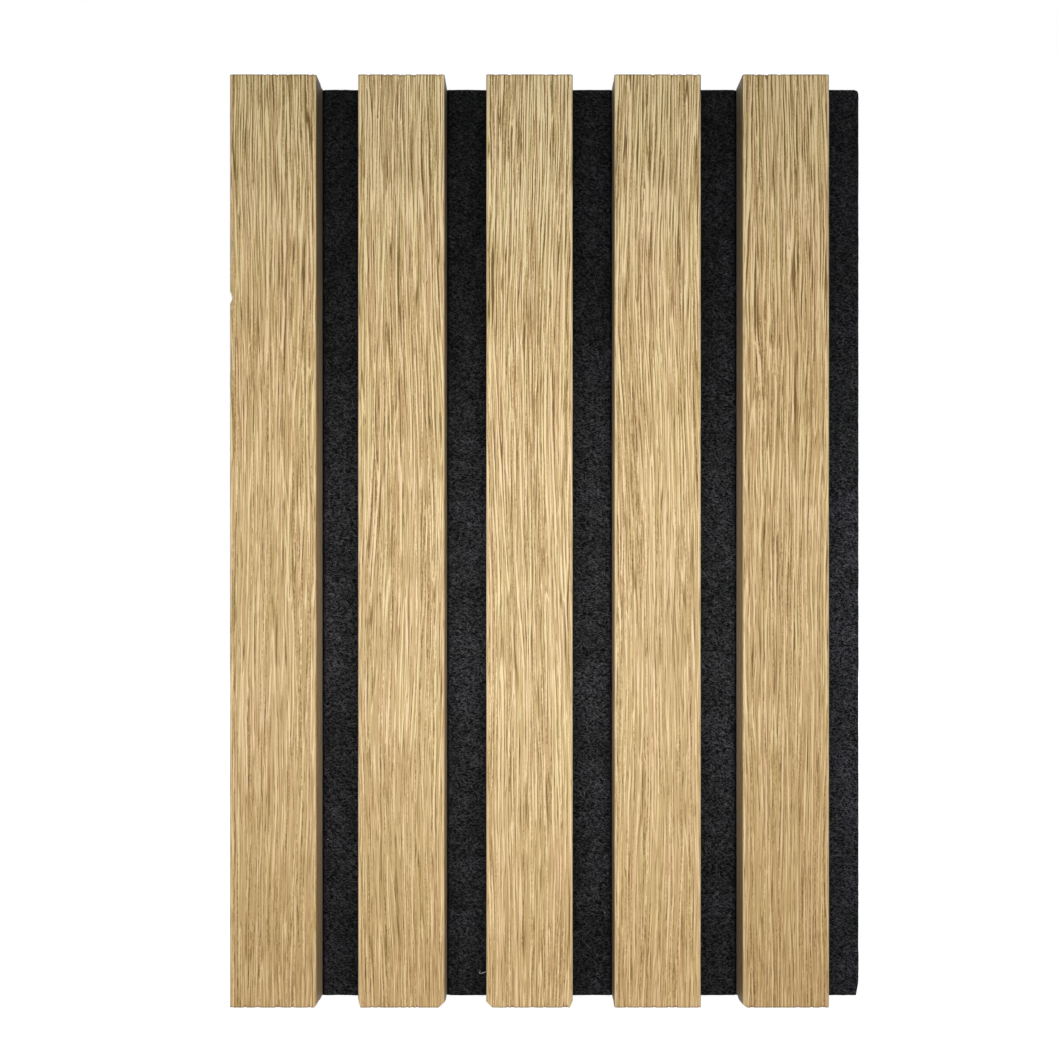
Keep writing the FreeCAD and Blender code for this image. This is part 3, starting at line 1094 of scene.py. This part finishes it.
def felt_finish(felt):
    """Needled felt: crossing curled fibres over black hollows."""
    f = Finish("felt")
    curled = f.strayed(f.place, *FELT_CURL, FELT_CURL_REACH)
    fibres = 0.0
    for step, degrees in enumerate(FELT_LAYERS):
        shift = FIRST_LAYER_SHIFT + LAYER_SHIFT_STEP * step
        layer = f.smooth(f.turned(curled, degrees), FELT_FIBRE, shift)
        fibres = f.maths("MAXIMUM", fibres, f.ranged(layer, *FELT_FIBRES_SHOW))
    lumps = f.mottle(f.place, *FELT_LUMPS, detail=2.0)
    share = f.times(fibres, f.ranged(lumps, *LUMPS_CATCH))
    patches = f.mottle(f.place, *FELT_PATCHES, detail=3.0)
    # Painted light by height, times the felt's random patches
    painted_light_and_patches = f.times(painted_felt_light(f), f.ranged(patches, *PATCHES_RISE))
    # Beside each slat the fibres drop to black: partly flattened fibres, partly painted shade where the slat
    # meets the felt
    caught = f.times(share, painted_light_and_patches, f.less(1.0, f.mark("pressed_and_shaded")))
    cast = f.ramp(f.ranged(f.along("X"), FELT_LOW.x, FELT_HIGH.x), FELT_CASTS)
    tint = f.tinted(f.ramp(patches, PATCH_TINTS), cast)
    colour = f.mixed(caught, opaque(felt.black), f.tinted(tint, opaque(felt.grey)))
    f.relief(f.maths("ADD", share, lumps), depth=0.30 * MM, strength=0.8)
    return f.set(Base_Color=colour, Roughness=0.62, Specular_IOR_Level=0.04)


# The palest fibres: their pattern, and two limits of it with the shares there
FLECKS = (even(1.6 * MM), 17.0)
FLECK_SHARES = (0.40, 0.70, 0.05, 1.0)


def fibre_finish(felt):
    """Single fibres, from the felt's own black to pale flecks."""
    f = Finish("loose_fibre")
    # The pale flecks fade with the painted light by height
    share = f.times(f.ranged(f.mottle(f.place, *FLECKS), *FLECK_SHARES), painted_felt_light(f))
    colour = f.mixed(share, opaque(felt.black), opaque(felt.fleck))
    return f.set(Base_Color=colour, Roughness=0.5, Specular_IOR_Level=0.06)


# The lint's dust and tones
LINT_DUST = (even(0.4 * MM), 31.0)
LINT_TONES = ((0.35, (0.34, 0.35, 0.33)), (0.65, (0.62, 0.63, 0.60)))


def lint_finish():
    """Undyed fibre, greyed with dust."""
    f = Finish("lint")
    colour = f.ramp(f.mottle(f.place, *LINT_DUST, detail=2.0), LINT_TONES)
    return f.set(Base_Color=colour, Roughness=0.7, Specular_IOR_Level=0.2)


# The wire's drawing marks, its tones, and two limits of the marks with the roughness there
DRAWING_MARKS = ((1.2 * MM, 0.12 * MM, 0.12 * MM), 4.0)
WIRE_TONES = ((0.3, (0.13, 0.13, 0.135)), (0.7, (0.30, 0.30, 0.31)))
WIRE_ROUGHNESS = (0.3, 0.7, 0.50, 0.62)


def wire_finish():
    """Galvanised staple wire with drawing marks."""
    f = Finish("staple_wire")
    marks = f.mottle(f.place, *DRAWING_MARKS, detail=2.0)
    colour = f.ramp(marks, WIRE_TONES)
    rough = f.ranged(marks, *WIRE_ROUGHNESS)
    f.relief(marks, depth=0.03 * MM, strength=0.4)
    return f.set(Base_Color=colour, Metallic=1.0, Roughness=rough)


# Stage

# The photograph's frame in pixels, and the middle of the view
IMAGE_SIDE = 1058
SENSOR = 36.0
AIM_X = -6.4 * MM
PANEL_MIDDLE_ROW = 541.0

# The surround, the floor and the lamps, in metres and watts
SURROUND_WHITE = 1.0
FLOOR_SIDE = 12.0
FLOOR_GREY = 0.55
FLOOR_VEIL_GREY = 0.50
FLOOR_GLOW = 0.90
KEY_PLACE = (AIM_X, -0.345, -0.013)
KEY_AIM = (AIM_X, 0.0, -0.013)
KEY_SIZE = (0.28, 0.10)
BACK_PLACES = {"back_left": (-0.7, 0.9, 0.10), "back_right": (0.7, 0.9, 0.10)}
BACK_AIM = (0.0, 0.0, 0.0)
BACK_SIZE = (0.6, 0.4)
BACK_POWER = 6.0


def see_through_mix(tree, shown, lit):
    """Mixes what camera, glossy and transmitted rays see with what lights the panel."""
    path = tree.nodes.new("ShaderNodeLightPath")
    seen = path.outputs["Is Camera Ray"]
    for ray in ("Is Glossy Ray", "Is Transmission Ray"):
        either = tree.nodes.new("ShaderNodeMath")
        either.operation = "MAXIMUM"
        tree.links.new(seen, either.inputs[0])
        tree.links.new(path.outputs[ray], either.inputs[1])
        seen = either.outputs[0]
    mix = tree.nodes.new("ShaderNodeMixShader")
    tree.links.new(seen, mix.inputs[0])
    tree.links.new(lit, mix.inputs[1])
    tree.links.new(shown, mix.inputs[2])
    return mix.outputs[0]


def white_light(tree, strength):
    """White surround of a strength."""
    made = tree.nodes.new("ShaderNodeBackground")
    made.inputs["Color"].default_value = (1.0, 1.0, 1.0, 1.0)
    made.inputs["Strength"].default_value = strength
    return made.outputs[0]


def white_world(ambient):
    """White behind the panel, and even light of the given strength on it."""
    world = bpy.data.worlds.new("studio")
    world.use_nodes = True
    tree = world.node_tree
    tree.nodes.clear()
    mixed = see_through_mix(tree, white_light(tree, SURROUND_WHITE), white_light(tree, ambient))
    out = tree.nodes.new("ShaderNodeOutputWorld")
    tree.links.new(mixed, out.inputs["Surface"])
    bpy.context.scene.world = world


def dull(tree, grey):
    """Dull surface of one grey."""
    made = tree.nodes.new("ShaderNodeBsdfDiffuse")
    made.inputs["Color"].default_value = (grey, grey, grey, 1.0)
    return made.outputs[0]


def floor_finish():
    """Pale floor that reads as white and keeps the panel's soft shadow."""
    material = bpy.data.materials.new("floor")
    material.use_nodes = True
    tree = material.node_tree
    tree.nodes.clear()
    glow = tree.nodes.new("ShaderNodeEmission")
    glow.inputs["Strength"].default_value = FLOOR_GLOW
    shown = tree.nodes.new("ShaderNodeAddShader")
    tree.links.new(dull(tree, FLOOR_VEIL_GREY), shown.inputs[0])
    tree.links.new(glow.outputs[0], shown.inputs[1])
    mixed = see_through_mix(tree, shown.outputs[0], dull(tree, FLOOR_GREY))
    out = tree.nodes.new("ShaderNodeOutputMaterial")
    tree.links.new(mixed, out.inputs["Surface"])
    return material


def add_floor():
    """Plain floor at the panel's foot."""
    bm = bmesh.new()
    at_foot = Matrix.Translation((0, 0, CAD_BOX[0][2]))
    bmesh.ops.create_grid(bm, x_segments=1, y_segments=1, size=FLOOR_SIDE / 2, matrix=at_foot)
    floor = add_object("floor", as_mesh("floor", bm))
    floor.data.materials.append(floor_finish())


def add_lamp(name, place, aim, size, power):
    """Soft box that the camera doesn't see."""
    data = bpy.data.lights.new(name, "AREA")
    data.shape = "RECTANGLE"
    data.size, data.size_y = size
    data.energy = power
    lamp = add_object(name, data)
    lamp.location = place
    lamp.rotation_euler = (Vector(aim) - Vector(place)).to_track_quat("-Z", "Y").to_euler()
    lamp.visible_camera = False


def add_camera(stage):
    """Square-on camera with a risen lens, so that the slats stay parallel."""
    low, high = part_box("slat_veneer_%d" % SLAT_NUMBERS[0])
    front_y = low.y
    middle_z = (low.z + high.z) / 2
    pixel = stage.distance * SENSOR / stage.lens / IMAGE_SIDE
    axis_row = IMAGE_SIDE / 2 + stage.rise * IMAGE_SIDE
    data = bpy.data.cameras.new("camera")
    data.lens = stage.lens
    data.sensor_width = SENSOR
    data.shift_y = stage.rise
    camera = add_object("camera", data)
    camera.location = (AIM_X, front_y - stage.distance, middle_z - (axis_row - PANEL_MIDDLE_ROW) * pixel)
    camera.rotation_euler = (math.pi / 2, 0.0, 0.0)
    bpy.context.scene.camera = camera


# Operators


class SLATPANEL_OT_oak_slats(bpy.types.Operator):
    """Fold oak veneer over each slat's core"""

    bl_idname = "slatpanel.oak_slats"
    bl_label = "Oak slats"

    def execute(self, context):
        oak = context.scene.slat_oak
        finish = oak_finish(oak)
        for number in SLAT_NUMBERS:
            oak_slat(number, finish, oak)
        return {"FINISHED"}


class SLATPANEL_OT_fibreboard_cores(bpy.types.Operator):
    """Give the slats' cores their pressed fibre"""

    bl_idname = "slatpanel.fibreboard_cores"
    bl_label = "Fibreboard cores"

    def execute(self, context):
        finish = fibreboard_finish()
        for number in SLAT_NUMBERS:
            dress("slat_core_%d" % number, finish)
        return {"FINISHED"}


class SLATPANEL_OT_felt_board(bpy.types.Operator):
    """Build the felt board that carries the slats"""

    bl_idname = "slatpanel.felt_board"
    bl_label = "Felt board"

    def execute(self, context):
        felt = context.scene.slat_felt
        felt_board(felt_finish(felt), felt)
        return {"FINISHED"}


class SLATPANEL_OT_loose_fibres(bpy.types.Operator):
    """Scatter loose fibres over the open felt"""

    bl_idname = "slatpanel.loose_fibres"
    bl_label = "Loose fibres"

    def execute(self, context):
        felt = context.scene.slat_felt
        felt_fibres(fibre_finish(felt), felt)
        return {"FINISHED"}


class SLATPANEL_OT_lint(bpy.types.Operator):
    """Lay a few pale threads on the felt"""

    bl_idname = "slatpanel.lint"
    bl_label = "Lint"

    def execute(self, context):
        lint(lint_finish())
        return {"FINISHED"}


class SLATPANEL_OT_staples(bpy.types.Operator):
    """Give the staples their galvanised wire"""

    bl_idname = "slatpanel.staples"
    bl_label = "Staples"

    def execute(self, context):
        dress("staples", wire_finish())
        return {"FINISHED"}


class SLATPANEL_OT_stage(bpy.types.Operator):
    """Set the floor, lamps, white surround and camera"""

    bl_idname = "slatpanel.stage"
    bl_label = "Stage"

    def execute(self, context):
        stage = context.scene.slat_stage
        context.scene.view_settings.view_transform = "Standard"
        white_world(stage.ambient)
        add_floor()
        add_lamp("key", KEY_PLACE, KEY_AIM, KEY_SIZE, stage.key_power)
        for name, place in BACK_PLACES.items():
            add_lamp(name, place, BACK_AIM, BACK_SIZE, BACK_POWER)
        add_camera(stage)
        return {"FINISHED"}


class SLATPANEL_PT_sidebar(bpy.types.Panel):
    """Lists the panel's sizes, finishes and building steps"""

    bl_idname = "SLATPANEL_PT_sidebar"
    bl_label = "Slat panel"
    bl_space_type = "VIEW_3D"
    bl_region_type = "UI"
    bl_category = "Slat panel"

    def draw(self, context):
        layout = self.layout
        for group in (context.scene.slat_oak, context.scene.slat_felt, context.scene.slat_stage):
            box = layout.box()
            for name in group.__annotations__:
                box.prop(group, name)
        for operator in OPERATORS:
            layout.operator(operator.bl_idname)


GROUPS = {"slat_oak": OakSettings, "slat_felt": FeltSettings, "slat_stage": StageSettings}
OPERATORS = (
    SLATPANEL_OT_oak_slats,
    SLATPANEL_OT_fibreboard_cores,
    SLATPANEL_OT_felt_board,
    SLATPANEL_OT_loose_fibres,
    SLATPANEL_OT_lint,
    SLATPANEL_OT_staples,
    SLATPANEL_OT_stage,
)


def register():
    """Makes the settings, operators and sidebar known to Blender."""
    for name, group in GROUPS.items():
        bpy.utils.register_class(group)
        setattr(bpy.types.Scene, name, PointerProperty(type=group))
    for kind in (*OPERATORS, SLATPANEL_PT_sidebar):
        bpy.utils.register_class(kind)


def unregister():
    """Takes them away again."""
    for kind in reversed((*OPERATORS, SLATPANEL_PT_sidebar)):
        bpy.utils.unregister_class(kind)
    for name, group in GROUPS.items():
        delattr(bpy.types.Scene, name)
        bpy.utils.unregister_class(group)


def main():
    """Builds the panel and its stage."""
    register()
    bpy.ops.slatpanel.oak_slats()
    bpy.ops.slatpanel.fibreboard_cores()
    bpy.ops.slatpanel.felt_board()
    bpy.ops.slatpanel.loose_fibres()
    bpy.ops.slatpanel.lint()
    bpy.ops.slatpanel.staples()
    bpy.ops.slatpanel.stage()


if __name__ == "__main__":
    main()
